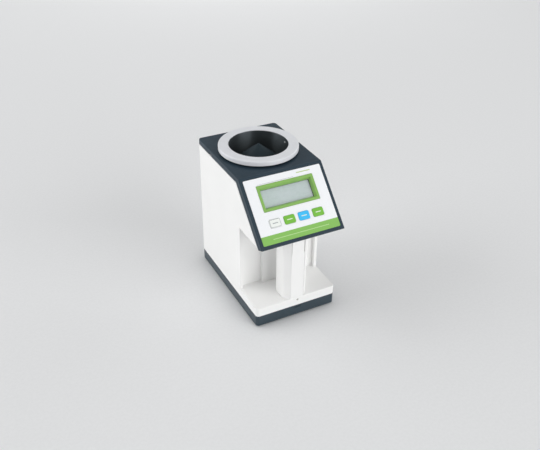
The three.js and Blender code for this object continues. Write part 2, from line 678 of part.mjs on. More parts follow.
const boardConnector = () => cut(box(-10, 10, -13.4, -6.4, BOARD_FACE, BOARD_FACE + 8),
  box(-7.4, 7.4, -14, -7.6, BOARD_FACE + 5.2, BOARD_FACE + 9));

// A flat cable from the panel board, over the head's floor and down behind the recess wall.
function ribbonCable() {
  const [startY, startZ] = panelPoint(70, PANEL_BOARD.depth + GAP);
  const floor = HEAD_BOTTOM + WALL + 1.2;
  const { half, thickness, dropY, plugY } = RIBBON;
  const low = BOARD_FACE + 5.8;
  const bend = 3;
  const under = [[startY, startZ], [startY + 4, floor + bend], [startY + 7, floor], [dropY - bend, floor],
    [dropY, floor - bend], [dropY, low + bend], [dropY + bend, low], [plugY, low]];
  const over = [[plugY, low + thickness], [dropY + bend + 0.5, low + thickness],
    [dropY + thickness, low + bend + 0.5], [dropY + thickness, floor - bend + 0.5],
    [dropY - bend + 0.5, floor + thickness], [startY + 7.5, floor + thickness],
    [startY + 5, floor + bend + 0.3], [startY + 1, startZ]];
  return across([...under, ...over], -half, half);
}

// ---------------------------------------------------------------- battery bay

const batteryRows = Array.from({ length: BATTERY_COUNT }, (_, i) => BATTERY.z + (i - 1.5) * BATTERY.pitch);
const HOLDER = { half: 31, wall: 1.6, back: 97.6, front: 80.4 };

function batteryHolder() {
  const { half, wall, back, front } = HOLDER;
  const low = batteryRows[0] - BATTERY.radius - 0.5;
  const high = batteryRows.at(-1) + BATTERY.radius + 0.5;
  const tray = cut(box(-half, half, front, back, low - wall, high + wall),
    box(-half + wall, half - wall, front + wall, back + 1, low, high));
  const ribs = batteryRows.slice(1).map((z) => {
    const middle = z - BATTERY.pitch / 2;
    return box(-14, 14, front + 0.5, front + 3.6, middle - 1, middle + 1);
  });
  return join(tray, ...ribs);
}

// A cylindrical cell lying along X, its nub on the side given by direction.
function battery(z, direction) {
  const { radius, length, nub, nubLength, y } = BATTERY;
  const half = (length + nubLength) / 2;
  const profile = [[0, -half], [radius - 0.5, -half], [radius, -half + 0.5],
    [radius, half - nubLength - 0.6], [radius - 0.8, half - nubLength], [nub, half - nubLength],
    [nub, half], [0, half]];
  const geometry = new THREE.LatheGeometry(profile.map(([r, h]) => new THREE.Vector2(r, h)), 16);
  return solid(geometry.rotateZ(-direction * Math.PI / 2).translate(0, y, z));
}

function contactPlate(side) {
  const low = batteryRows[0] - 5;
  const high = batteryRows.at(-1) + 5;
  const face = side * (HOLDER.half - HOLDER.wall - GAP);
  const [x0, x1] = [face, face - side * 0.5].sort((a, b) => a - b);
  return box(x0, x1, BATTERY.y - 4.5, BATTERY.y + 4.5, low, high);
}

class ConicalCoil extends THREE.Curve {
  constructor(length, wide, narrow, turns) {
    super();
    Object.assign(this, { length, wide, narrow, turns });
  }

  getPoint(t, target = new THREE.Vector3()) {
    const radius = this.wide + (this.narrow - this.wide) * t;
    const angle = WHOLE * this.turns * t;
    return target.set(this.length * t, radius * Math.cos(angle), radius * Math.sin(angle));
  }
}

// A conical contact spring against a cell's flat end.
function contactSpring(z, side) {
  const wire = new THREE.Shape();
  wire.absarc(0, 0, 0.35, 0, WHOLE);
  const from = HOLDER.half - HOLDER.wall - 2 * GAP - 0.5 - 0.35;
  const to = (BATTERY.length + BATTERY.nubLength) / 2 + 0.7;
  const coil = new ConicalCoil(to - from, 5, 3, 2.5);
  const options = { steps: 20, curveSegments: 2, extrudePath: coil, bevelEnabled: false };
  const geometry = new THREE.ExtrudeGeometry(wire, options);
  geometry.translate(from, 0, 0);
  if (side < 0) geometry.rotateZ(Math.PI);
  return solid(geometry.translate(0, BATTERY.y, z));
}

function batteryDoor() {
  const { half, top, thickness, gap } = DOOR;
  const { y, z, radius, pin } = HINGE;
  const panelSheet = box(-half, half, BACK - thickness, BACK, z, top - gap);
  const knuckle = bar('x', radius, [y, z], -half, half, 24);
  const pins = bar('x', pin, [y, z], -half - 2.6, half + 2.6, 16);
  const fingerScoop = box(-10, 10, BACK - 0.9, BACK + 1, top - 9, top - 5);
  return cut(join(panelSheet, knuckle, pins), fingerScoop);
}

function ratingPlate() {
  const { half, bottom, top, thickness } = PLATE;
  return box(-half, half, BACK - thickness, BACK, bottom, top);
}

// ---------------------------------------------------------------- assembly

add('base_tray', baseTray(), LOOKS.dark);
footPlaces.forEach(([x, y], i) => add(`foot_${i + 1}`, foot(x, y), LOOKS.rubber));
screwPlaces.forEach(([x, y], i) => {
  add(`base_screw_${i + 1}`, screwUp(x, y, BASE_SCREW_SEAT, BASE_SCREW.length), LOOKS.steel);
});

add('main_housing', mainHousing(), LOOKS.white);
add('grip_column', gripColumn(), LOOKS.white);
add('grip_cover', gripCover(), LOOKS.white);
const gripScrew = screwAlongY(GRIP_SCREW.x, GRIP_SCREW.z, FRONT + GAP, 1, GRIP_SCREW.length - 1, GRIP_SCREW);
add('grip_screw', gripScrew, LOOKS.steel);

add('top_cover', topCover(), LOOKS.dark);
[-1, 1].forEach((side, i) => add(`cover_screw_${i + 1}`,
  screwAlongY(side * COVER_SCREW.x, COVER_SCREW.z, BACK - GAP, -1, COVER_SCREW.length), LOOKS.steel));

addToPanel('panel_label', panelLabel(), LOOKS.label);
addToPanel('display_bezel', displayBezel(), LOOKS.green);
addToPanel('display_window', displayWindow(), LOOKS.lens);
addToPanel('display_module', displayModule(), LOOKS.lcd);
addToPanel('panel_board', panelBoard(), LOOKS.board);
const keyLooks = [LOOKS.label, LOOKS.green, LOOKS.blue, LOOKS.green];
keyPlaces.forEach((x, i) => {
  addToPanel(`key_${i + 1}`, keyCap(x), keyLooks[i]);
  addToPanel(`key_switch_${i + 1}`, keySwitch(x), LOOKS.black);
});

add('cell_ring', cellRing(), LOOKS.ring);
add('cell_wall', cellWall(), LOOKS.cell);
add('cell_floor', cellFloor(), LOOKS.cell);
add('centre_electrode', centreElectrode(), LOOKS.cell);
add('cone_cap', coneCap(), LOOKS.cell);
add('temperature_probe', temperatureProbe(), LOOKS.steel);
[-1, 1].forEach((side, i) => add(`cell_pin_${i + 1}`, cellPin(side), LOOKS.steel));
add('cell_carrier', cellCarrier(), LOOKS.aluminium);
add('cell_spacer', cellSpacer(), LOOKS.aluminium);
add('load_cell', loadCell(), LOOKS.aluminium);
add('load_cell_foot', loadCellFoot(), LOOKS.aluminium);
add('inner_frame', innerFrame(), LOOKS.steel);

add('main_board', mainBoard(), LOOKS.board);
add('processor', processor(), LOOKS.black);
add('buzzer', buzzer(), LOOKS.black);
add('board_connector', boardConnector(), LOOKS.holder);
add('ribbon_cable', ribbonCable(), LOOKS.ribbon);

add('battery_holder', batteryHolder(), LOOKS.holder);
batteryRows.forEach((z, i) => {
  const direction = i % 2 ? -1 : 1;
  add(`battery_${i + 1}`, battery(z, direction), LOOKS.battery);
  add(`contact_spring_${i + 1}`, contactSpring(z, -direction), LOOKS.steel);
});
add('contact_plate_left', contactPlate(-1), LOOKS.brass);
add('contact_plate_right', contactPlate(1), LOOKS.brass);
add('battery_door', batteryDoor(), LOOKS.white);
add('rating_plate', ratingPlate(), LOOKS.aluminium);

export default pieces;
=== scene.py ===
"""A bench-top grain moisture meter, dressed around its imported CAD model.

Shapes are worked out in millimetres and stored in metres. +Z is up and the sloped panel faces -Y.
The CAD model gives every place and size; this script gives fine meshes, materials, floor, light and camera.
"""

import json
import math

import bmesh
import bpy
from mathutils import Matrix, Vector


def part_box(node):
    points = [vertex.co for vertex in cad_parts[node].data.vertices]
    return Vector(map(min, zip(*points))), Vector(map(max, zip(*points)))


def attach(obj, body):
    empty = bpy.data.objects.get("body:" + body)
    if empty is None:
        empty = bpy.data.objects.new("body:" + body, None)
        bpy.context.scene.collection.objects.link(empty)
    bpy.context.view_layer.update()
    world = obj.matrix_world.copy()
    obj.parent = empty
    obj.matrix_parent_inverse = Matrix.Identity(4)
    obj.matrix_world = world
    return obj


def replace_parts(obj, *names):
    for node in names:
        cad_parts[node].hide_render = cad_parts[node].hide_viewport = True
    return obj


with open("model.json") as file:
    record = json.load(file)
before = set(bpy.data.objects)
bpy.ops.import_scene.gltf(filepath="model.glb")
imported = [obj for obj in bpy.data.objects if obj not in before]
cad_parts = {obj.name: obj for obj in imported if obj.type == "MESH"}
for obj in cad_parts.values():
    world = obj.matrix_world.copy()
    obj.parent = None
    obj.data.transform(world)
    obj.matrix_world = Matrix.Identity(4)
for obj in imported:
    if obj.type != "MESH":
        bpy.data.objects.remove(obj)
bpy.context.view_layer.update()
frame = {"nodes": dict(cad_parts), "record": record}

MM = 0.001


def corners(node):
    """A CAD node's lowest and highest corners, in millimetres."""
    low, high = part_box(node)
    return low / MM, high / MM


# ------------------------------------------------------------------ driving sizes, in millimetres

BASE_LOW, BASE_HIGH = corners("base_tray")
HALF, FRONT, BACK = BASE_HIGH.x, BASE_LOW.y, BASE_HIGH.y
TOP = corners("top_cover")[1].z
HEAD_BOTTOM = corners("grip_column")[1].z
TILT = math.radians(45.3)          # the panel's slope below level
FOLD_Y = -33.2                     # where the cover folds from its level top to the sloped panel
CORNER = 5.1                       # the body's round upright corners end this far in from its sides
NEAR = 0.05                        # two places this close count as the same
SHARP = math.radians(28)           # edges sharper than this are bevelled, or stay sharp in the shading

# The panel's own frame: X across, -Y down the slope from the fold, Z out of it.
PANEL = Matrix.Translation((0, FOLD_Y, TOP)) @ Matrix.Rotation(TILT, 4, "X")
PANEL_BACK = PANEL.inverted()


def panel_corners(node):
    """A CAD node's lowest and highest corners in the panel's frame, in millimetres."""
    points = [PANEL_BACK @ (v.co / MM) for v in frame["nodes"][node].data.vertices]
    low = Vector(min(p[i] for p in points) for i in range(3))
    high = Vector(max(p[i] for p in points) for i in range(3))
    return low, high


# ------------------------------------------------------------------ materials

def srgb(red, green, blue):
    """An 8-bit sRGB colour as linear RGBA."""
    def channel(value):
        value /= 255
        return value / 12.92 if value <= 0.04045 else ((value + 0.055) / 1.055) ** 2.4
    return (channel(red), channel(green), channel(blue), 1.0)


def shaded(colour, factor):
    """A colour made darker or lighter."""
    return tuple(min(1.0, c * factor) for c in colour[:3]) + (1.0,)


class Look:
    """A Principled material whose nodes are placed by short calls."""

    def __init__(self, name):
        self.material = bpy.data.materials.new(name)
        self.material.use_nodes = True
        self.nodes = self.material.node_tree.nodes
        self.links = self.material.node_tree.links
        self.shader = self.nodes["Principled BSDF"]
        self.place = self.nodes.new("ShaderNodeTexCoord").outputs["Object"]

    def put(self, **values):
        for name, value in values.items():
            self.shader.inputs[name.replace("_", " ")].default_value = value
        return self

    def stretched(self, x, y, z):
        """Object coordinates, scaled on each axis: a larger number gives finer detail along it."""
        node = self.nodes.new("ShaderNodeMapping")
        node.inputs["Scale"].default_value = (x, y, z)
        self.links.new(self.place, node.inputs["Vector"])
        return node.outputs["Vector"]

    def noise(self, size, detail=2.0, rough=0.5, place=None):
        """Noise with blobs of about this size in millimetres."""
        node = self.nodes.new("ShaderNodeTexNoise")
        node.inputs["Scale"].default_value = 1 / (size * MM)
        node.inputs["Detail"].default_value = detail
        node.inputs["Roughness"].default_value = rough
        self.links.new(place or self.place, node.inputs["Vector"])
        return node.outputs["Fac"]

    def ramp(self, value, low, high, start=0.35, end=0.65):
        """A colour from low to high as value goes from start to end."""
        node = self.nodes.new("ShaderNodeValToRGB")
        first, last = node.color_ramp.elements
        first.position, first.color = start, low
        last.position, last.color = end, high
        self.links.new(value, node.inputs["Fac"])
        return node.outputs["Color"]

    def spread(self, value, low, high):
        """A number from low to high as value goes from 0.3 to 0.7."""
        node = self.nodes.new("ShaderNodeMapRange")
        for name, number in (("From Min", 0.3), ("From Max", 0.7), ("To Min", low), ("To Max", high)):
            node.inputs[name].default_value = number
        self.links.new(value, node.inputs["Value"])
        return node.outputs["Result"]

    def colour(self, output):
        self.links.new(output, self.shader.inputs["Base Color"])
        return self

    def roughness(self, output):
        self.links.new(output, self.shader.inputs["Roughness"])
        return self

    def bump(self, *layers):
        """Layers of (height, strength, depth in millimetres), from coarse to fine."""
        normal = None
        for height, strength, depth in layers:
            node = self.nodes.new("ShaderNodeBump")
            node.inputs["Strength"].default_value = strength
            node.inputs["Distance"].default_value = depth * MM
            self.links.new(height, node.inputs["Height"])
            if normal:
                self.links.new(normal, node.inputs["Normal"])
            normal = node.outputs["Normal"]
        self.links.new(normal, self.shader.inputs["Normal"])
        return self


def moulded(name, colour, rough=0.42, grain=0.7, depth=0.02, vary=0.02, blotch=35.0, gloss=0.5):
    """Injection-moulded plastic: fine spark-eroded grain, and a faint unevenness in colour and gloss."""
    look = Look(name).put(Specular_IOR_Level=gloss)
    look.colour(look.ramp(look.noise(blotch, 3.0), shaded(colour, 1 - vary), shaded(colour, 1 + vary)))
    look.roughness(look.spread(look.noise(6.0, 3.0), rough - 0.04, rough + 0.04))
    look.bump((look.noise(9.0, 1.0), 0.12, 0.03), (look.noise(grain, 2.0), 0.35, depth))
    return look.material


def metal(name, colour, rough=0.32, lines=(1, 1, 1), vary=0.06):
    """Metal with a drawn or turned grain: lines gives how fine the grain is along each axis."""
    look = Look(name).put(Metallic=1.0)
    fine = look.noise(2.0, 4.0, 0.6, look.stretched(*lines))
    look.colour(look.ramp(fine, shaded(colour, 1 - vary), shaded(colour, 1 + vary)))
    look.roughness(look.spread(fine, rough - 0.07, rough + 0.07))
    look.bump((fine, 0.25, 0.008))
    return look.material


def anodised(name, colour, metallic, rough, gloss, streak=0.0):
    """Dark hard-anodised metal with fine turning marks, which can draw highlights out up and down."""
    look = Look(name).put(Metallic=metallic, Specular_IOR_Level=gloss, Anisotropic=streak,
                          Anisotropic_Rotation=0.25)
    fine = look.noise(1.4, 4.0, 0.6, look.stretched(1, 1, 6))
    look.colour(look.ramp(fine, shaded(colour, 0.93), shaded(colour, 1.07)))
    look.roughness(look.spread(fine, rough - 0.06, rough + 0.06))
    look.bump((fine, 0.2, 0.006))
    if streak:
        around = look.nodes.new("ShaderNodeTangent")
        around.direction_type = "RADIAL"
        around.axis = "Z"
        look.links.new(around.outputs["Tangent"], look.shader.inputs["Tangent"])
    return look.material


def printed(name, colour, rough=0.4):
    """Printing ink on film: nearly flat, with a faint dot texture."""
    look = Look(name)
    look.colour(look.ramp(look.noise(0.5, 2.0), shaded(colour, 0.97), shaded(colour, 1.03)))
    look.roughness(look.spread(look.noise(3.0), rough - 0.05, rough + 0.05))
    look.bump((look.noise(0.6, 1.0), 0.1, 0.004))
    return look.material


def circuit_board(name):
    """Green solder mask with a fine maze of raised copper tracks under it."""
    look = Look(name).put(Coat_Weight=0.4, Coat_Roughness=0.2)
    maze = look.nodes.new("ShaderNodeTexBrick")
    maze.inputs["Scale"].default_value = 260
    maze.inputs["Mortar Size"].default_value = 0.03
    maze.inputs["Color1"].default_value = srgb(28, 96, 60)
    maze.inputs["Color2"].default_value = srgb(34, 112, 70)
    maze.inputs["Mortar"].default_value = srgb(58, 142, 92)
    look.links.new(look.place, maze.inputs["Vector"])
    look.colour(maze.outputs["Color"])
    look.roughness(look.spread(look.noise(4.0), 0.3, 0.42))
    look.bump((maze.outputs["Fac"], 0.3, 0.03))
    return look.material


def crystal_display(name):
    """The blank liquid crystal: grey-green, with a slow drift of tone and a very fine cell grid."""
    look = Look(name)
    look.colour(look.ramp(look.noise(45.0, 1.0), srgb(196, 212, 208), srgb(210, 217, 222), 0.3, 0.7))
    look.roughness(look.spread(look.noise(5.0), 0.26, 0.3))
    look.bump((look.noise(0.4, 0.0), 0.1, 0.001))
    return look.material


def clear_lens(name):
    """Thin acrylic, almost all see-through, with a soft sheen."""
    look = Look(name).put(Alpha=0.14, Base_Color=srgb(226, 234, 236))
    look.roughness(look.spread(look.noise(12.0), 0.07, 0.09))
    look.bump((look.noise(20.0, 0.0), 0.05, 0.001))
    look.material.blend_method = "BLEND"
    return look.material


def sleeve(name, colour):
    """A cell's plain printed sleeve: a satin film shrunk over metal."""
    look = Look(name).put(Metallic=0.2)
    look.colour(look.ramp(look.noise(30.0, 1.0), shaded(colour, 0.97), shaded(colour, 1.03)))
    look.roughness(look.spread(look.noise(3.0), 0.22, 0.28))
    look.bump((look.noise(8.0, 1.0), 0.1, 0.004))
    return look.material


LOOKS = {
    "housing_white": moulded("housing_white", srgb(245, 245, 244), 0.40, 0.6, 0.012, 0.008),
    "cover_dark": moulded("cover_dark", srgb(41, 58, 70), 0.46, 0.8, 0.02, 0.05, 22.0, 0.3),
    "base_dark": moulded("base_dark", srgb(45, 61, 71), 0.34, 0.8, 0.006, 0.03, 22.0, 0.5),
    "foot_rubber": moulded("foot_rubber", srgb(36, 38, 40), 0.85, 1.2, 0.05, 0.12, 6.0, 0.3),
    "screw_steel": metal("screw_steel", srgb(214, 213, 208), 0.42, (1, 1, 4)),
    "label_film": printed("label_film", srgb(246, 248, 251), 0.38),
    "bezel_green": moulded("bezel_green", srgb(136, 184, 92), 0.34, 1.2, 0.01, 0.03, 18.0),
    "key_white": moulded("key_white", srgb(242, 246, 242), 0.42, 0.5, 0.01, 0.01, 5.0),
    "key_green": moulded("key_green", srgb(119, 191, 60), 0.42, 0.5, 0.01, 0.03, 5.0),
    "key_blue": moulded("key_blue", srgb(52, 192, 250), 0.42, 0.5, 0.01, 0.03, 5.0),
    "lens_clear": clear_lens("lens_clear"),
    "lcd_grey": crystal_display("lcd_grey"),
    "board_green": circuit_board("board_green"),
    "part_black": moulded("part_black", srgb(29, 31, 33), 0.5, 0.4, 0.01, 0.08, 4.0),
    "ring_grey": moulded("ring_grey", srgb(224, 226, 230), 0.36, 0.9, 0.015, 0.015, 12.0),
    "electrode_dark": anodised("electrode_dark", srgb(36, 49, 55), 0.1, 0.6, 0.2),
    "insulator_dark": moulded("insulator_dark", srgb(42, 50, 55), 0.45, 0.8, 0.02, 0.06, 8.0),
    "bare_aluminium": metal("bare_aluminium", srgb(205, 208, 211), 0.34, (1, 5, 5)),
    "frame_steel": metal("frame_steel", srgb(180, 184, 188), 0.38, (4, 1, 1)),
    "contact_brass": metal("contact_brass", srgb(206, 172, 96), 0.3, (1, 1, 4)),
    "battery_sleeve": sleeve("battery_sleeve", srgb(112, 119, 127)),
    "ribbon_grey": moulded("ribbon_grey", srgb(198, 200, 203), 0.5, 1.0, 0.02, 0.04, 8.0),
    "holder_black": moulded("holder_black", srgb(44, 46, 48), 0.5, 0.7, 0.02, 0.06, 9.0),
}
INK_GREEN = printed("ink_green", srgb(134, 192, 90))
INK_GREY = printed("ink_grey", srgb(170, 176, 178))
INK_WHITE = printed("ink_white", srgb(232, 242, 224))
INK_PALE_GREEN = printed("ink_pale_green", srgb(186, 222, 156))
INK_OLIVE = printed("ink_olive", srgb(196, 214, 150))
ZINC = moulded("zinc", srgb(226, 229, 230), 0.5, 0.5, 0.004, 0.02, 3.0, 0.8)
SLEEVE_BAND = sleeve("sleeve_band", srgb(178, 122, 78))
BORE_FINISH = anodised("bore_finish", srgb(112, 120, 124), 0.9, 0.34, 0.5, 0.85)

SLOT_OF = {row["node"]: row["material_slot"] for row in frame["record"]["subparts"]}
BODY_OF = {node: body for body, nodes in frame["record"]["behaviour"]["bodies"].items() for node in nodes}

for node, part in frame["nodes"].items():
    part.data.materials.clear()
    part.data.materials.append(LOOKS[SLOT_OF[node]])


# ------------------------------------------------------------------ mesh helpers

def finished(bm, name, node, materials=None, weighted=True):
    """Turns a mesh in millimetres into a piece that rides with a CAD node and takes its slot."""
    bmesh.ops.recalc_face_normals(bm, faces=bm.faces)
    bmesh.ops.scale(bm, vec=(MM, MM, MM), verts=bm.verts)
    mesh = bpy.data.meshes.new(name)
    bm.to_mesh(mesh)
    bm.free()
    for material in materials or [LOOKS[SLOT_OF[node]]]:
        mesh.materials.append(material)
    mesh.shade_smooth()
    mesh.set_sharp_from_angle(angle=SHARP)
    piece = bpy.data.objects.new(name, mesh)
    bpy.context.scene.collection.objects.link(piece)
    if weighted:
        normals = piece.modifiers.new("flat_faces_stay_flat", "WEIGHTED_NORMAL")
        normals.keep_sharp = True
        normals.weight = 80
    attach(piece, BODY_OF[node])
    return piece


def standing_for(bm, node, **options):
    """A finished piece that is shown in its CAD node's place."""
    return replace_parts(finished(bm, f"{node}_fine", node, **options), node)


def cad_solid(node):
    """A CAD node's solid in millimetres, welded, with its flat faces made whole."""
    bm = bmesh.new()
    bm.from_mesh(frame["nodes"][node].data)
    bmesh.ops.scale(bm, vec=(1 / MM,) * 3, verts=bm.verts)
    bmesh.ops.remove_doubles(bm, verts=bm.verts, dist=0.002)
    bmesh.ops.dissolve_limit(bm, angle_limit=math.radians(0.5), verts=bm.verts, edges=bm.edges)
    return bm


def softened(bm, width, chosen=lambda edge: True, steps=3):
    """Rounds the chosen sharp edges by a width in millimetres."""
    edges = [e for e in bm.edges if len(e.link_faces) == 2 and e.calc_face_angle(0) > SHARP and chosen(e)]
    bmesh.ops.bevel(bm, geom=edges, offset=width, offset_type="OFFSET", segments=steps, profile=0.5,
                    affect="EDGES", clamp_overlap=True, loop_slide=True)
    return bm


def rounded(points, radius, steps=5):
    """A closed outline with its corners rounded. Radius is one number, or one for each point."""
    radii = radius if isinstance(radius, (list, tuple)) else [radius] * len(points)
    share = 0.49                   # the most of a side that one corner may take
    result = []
    for i, corner in enumerate(points):
        corner = Vector(corner)
        before = Vector(points[i - 1]) - corner
        after = Vector(points[(i + 1) % len(points)]) - corner
        if radii[i] <= 0:
            result.append(corner)
            continue
        half = before.angle(after) / 2
        reach = min(radii[i] / math.tan(half), before.length * share, after.length * share)
        start, end = corner + before.normalized() * reach, corner + after.normalized() * reach
        middle = corner + (before.normalized() + after.normalized()).normalized() * reach / math.cos(half)
        arm = start - middle
        turn = arm.angle_signed(end - middle)
        for step in range(steps + 1):
            angle = -turn * step / steps
            result.append(middle + Matrix.Rotation(angle, 2) @ arm)
    return result


def lathe(outline, centre=(0, 0), segments=128):
    """A closed outline of (radius, height), turned about the vertical line at centre."""
    bm = bmesh.new()
    rings = []
    for radius, height in outline:
        if radius < 1e-6:
            rings.append([bm.verts.new((centre[0], centre[1], height))])
            continue
        ring = []
        for i in range(segments):
            angle = 2 * math.pi * i / segments
            ring.append(bm.verts.new((centre[0] + radius * math.cos(angle),
                                      centre[1] + radius * math.sin(angle), height)))
        rings.append(ring)
    for lower, upper in zip(rings, rings[1:] + rings[:1]):
        if len(lower) == 1 and len(upper) == 1:
            continue
        for i in range(segments):
            j = (i + 1) % segments
            quad = [lower[i % len(lower)], lower[j % len(lower)],
                    upper[j % len(upper)], upper[i % len(upper)]]
            bm.faces.new(dict.fromkeys(quad))
    return bm


def prism(outline, z0, z1):
    """An outline in X and Y, raised from z0 to z1."""
    bm = bmesh.new()
    low = [bm.verts.new((x, y, z0)) for x, y in outline]
    high = [bm.verts.new((x, y, z1)) for x, y in outline]
    bm.faces.new(low)
    bm.faces.new(high)
    for i in range(len(outline)):
        j = (i + 1) % len(outline)
        bm.faces.new((low[i], low[j], high[j], high[i]))
    return bm


def hoop(outer, inner, z0, z1):
    """A flat loop between two outlines with as many points each."""
    bm = bmesh.new()
    loops = [[bm.verts.new((x, y, z)) for x, y in line] for line in (outer, inner) for z in (z0, z1)]
    outer_low, outer_high, inner_low, inner_high = loops
    for i in range(len(outer)):
        j = (i + 1) % len(outer)
        for a, b in ((outer_low, outer_high), (outer_high, inner_high), (inner_high, inner_low),
                     (inner_low, outer_low)):
            bm.faces.new((a[i], a[j], b[j], b[i]))
    return bm


def rectangle(x0, x1, y0, y1):
    return [(x0, y0), (x1, y0), (x1, y1), (x0, y1)]


def inside(low, high, inset):
    """The rectangle that lies this far inside two corners."""
    return rectangle(low[0] + inset, high[0] - inset, low[1] + inset, high[1] - inset)


def moved(bm, matrix):
    bmesh.ops.transform(bm, matrix=matrix, verts=bm.verts)
    return bm


def on_box(edge, low, high):
    """True if both ends of an edge lie on the faces of this box."""
    def touches(point):
        return any(abs(point[i] - side[i]) < NEAR for i in range(3) for side in (low, high))
    return all(touches(v.co) for v in edge.verts)


def middle_of(edge):
    return (edge.verts[0].co + edge.verts[1].co) / 2


# ------------------------------------------------------------------ base and feet

def base_tray():
    """The tray's outer edges are softened, and its inside is left as it is."""
    def outside(edge):
        walls = all(abs(abs(v.co.x) - HALF) < CORNER or v.co.y < FRONT + CORNER or v.co.y > BACK - CORNER
                    for v in edge.verts)
        return walls and on_box(edge, BASE_LOW, BASE_HIGH)
    standing_for(softened(cad_solid("base_tray"), 0.5, outside), "base_tray")


def feet():
    """Rubber feet, each with a shallow groove round its underside."""
    for number in range(1, 5):
        low, high = corners(f"foot_{number}")
        centre = ((low.x + high.x) / 2, (low.y + high.y) / 2)
        radius = (high.x - low.x) / 2
        outline = rounded([(0, low.z), (radius - 3, low.z), (radius - 2.4, low.z + 0.5),
                           (radius - 1.8, low.z), (radius - 0.3, low.z), (radius, high.z), (0, high.z)],
                          [0, 0.2, 0.2, 0.2, 0.5, 0.2, 0])
        standing_for(lathe(outline, centre, 64), f"foot_{number}")


# ------------------------------------------------------------------ housing and grip

def main_housing():
    """The middle of the recess is raised, with a rounded corner each side. The platform has a soft rim."""
    front_edge = corners("main_housing")[0].y
    recess_y, pocket_y, boss_half, platform = -35.5, -29.0, 27.6, 32.5
    shortest, close, above_recess = 1.2, 0.1, 100

    def boss_edge(y):
        return lambda edge: all(abs(abs(v.co.x) - boss_half) < close and abs(v.co.y - y) < close
                                for v in edge.verts)

    def platform_rim(edge):
        return all(abs(v.co.z - platform) < close and v.co.y < recess_y + close
                   and (abs(v.co.x) > HALF - CORNER or v.co.y < FRONT + CORNER) for v in edge.verts)

    def outside(edge):
        if edge.calc_length() < shortest:
            return False
        middle = middle_of(edge)
        if middle.y > BACK - 2 * close or abs(middle.x) > HALF - close:
            return True
        in_recess = middle.y < pocket_y + close and platform - 0.5 < middle.z < HEAD_BOTTOM + 1
        on_head = abs(middle.y - front_edge) < 2 and middle.z > above_recess
        return in_recess or on_head or abs(middle.y - FRONT) < close
    bm = softened(cad_solid("main_housing"), 4.5, boss_edge(recess_y), 10)
    softened(bm, 1.5, boss_edge(pocket_y), 5)
    softened(bm, 1.2, platform_rim, 4)
    standing_for(softened(bm, 0.5, outside), "main_housing")


def grip():
    """The column's flanks end in wide round edges, and its cover's edges are only softened."""
    side = corners("grip_column")[1].x
    tall = 20

    def upright(edge):
        return abs(edge.verts[0].co.z - edge.verts[1].co.z) > tall

    def flank(edge):
        return upright(edge) and abs(edge.verts[0].co.x) > side - 0.1
    column = softened(cad_solid("grip_column"), 3.5, flank, 8)
    standing_for(softened(column, 0.45, upright), "grip_column")
    standing_for(softened(cad_solid("grip_cover"), 0.25, upright), "grip_cover")


# ------------------------------------------------------------------ cover

def top_cover():
    """Outer edges are rounded, except round the cell's hole and the panel's openings, which are covered."""
    hole_half, hole_front, hole_back = 50, -16, 84
    label_half, label_foot, label_head = 58.4, -94.6, -3.6
    width = 0.9

    def outside(edge):
        middle = middle_of(edge)
        local = PANEL_BACK @ middle
        on_top, on_slope = abs(middle.z - TOP) < NEAR, abs(local.z) < NEAR
        on_skin = on_top or on_slope or abs(abs(middle.x) - HALF) < NEAR
        on_back = abs(middle.y - BACK) < NEAR or middle.y > BACK - CORNER and abs(middle.x) > HALF - CORNER
        round_hole = on_top and abs(middle.x) < hole_half and hole_front < middle.y < hole_back
        openings = on_slope and abs(local.x) < label_half and label_foot < local.y < label_head
        return (on_skin or on_back) and not round_hole and not openings and edge.calc_length() > width
    standing_for(softened(cad_solid("top_cover"), width, outside, 4), "top_cover")


# ------------------------------------------------------------------ panel

def panel_label():
    """The film, with its green band across the bottom, and the plain printed rules."""
    low, high = panel_corners("panel_label")
    band_height, ink = 12.2, 0.05
    band = low.y + band_height
    bm = moved(cad_solid("panel_label"), PANEL_BACK)
    geometry = bm.verts[:] + bm.edges[:] + bm.faces[:]
    bmesh.ops.bisect_plane(bm, geom=geometry, plane_co=(0, band, 0), plane_no=(0, 1, 0))
    for face in bm.faces:
        face.material_index = 1 if face.calc_center_median().y < band else 0
    moved(bm, PANEL)
    standing_for(bm, "panel_label", materials=[LOOKS["label_film"], INK_GREEN], weighted=False)
    rule = rectangle(-40, 14, -13.5, -13.1)
    bar = rounded(rectangle(20, 41, -9.7, -8.3), 0.6)
    strip = rounded(rectangle(-42, 42, band - 6.6, band - 5.7), 0.4)
    for name, outline, colour in (("panel_rule", rule, INK_GREY), ("panel_bar", bar, INK_OLIVE),
                                  ("band_rule", strip, INK_PALE_GREEN)):
        finished(moved(prism(outline, high.z, high.z + ink), PANEL), name, "panel_label", [colour])


def display():
    """The frame, the window, and the display's glass with a black border round it: partly the display's own
    dark edge, partly painted shade for the shadow inside the window's recess.
    """
    bezel = moved(cad_solid("display_bezel"), PANEL_BACK)
    standing_for(moved(softened(bezel, 0.3), PANEL), "display_bezel")
    standing_for(softened(cad_solid("display_window"), 0.15, steps=2), "display_window")
    low, high = panel_corners("display_module")
    border, clear, corner, sunk = 5.1, 0.05, 0.8, 0.1
    # A black border on the display's face, under the frame: the display's own dark edge, widened into
    # painted shade for the shadow inside the window's recess.
    outer = rounded(inside(low, high, 0), corner)
    inner = rounded(inside(low, high, border), corner)
    painted_shade_border = hoop(outer, inner, low.z, high.z)
    finished(moved(painted_shade_border, PANEL), "display_painted_shade_border", "display_module", [LOOKS["part_black"]])
    glass = prism(rounded(inside(low, high, border + clear), corner), low.z, high.z - sunk)
    standing_for(moved(softened(glass, 0.15, steps=2), PANEL), "display_module")


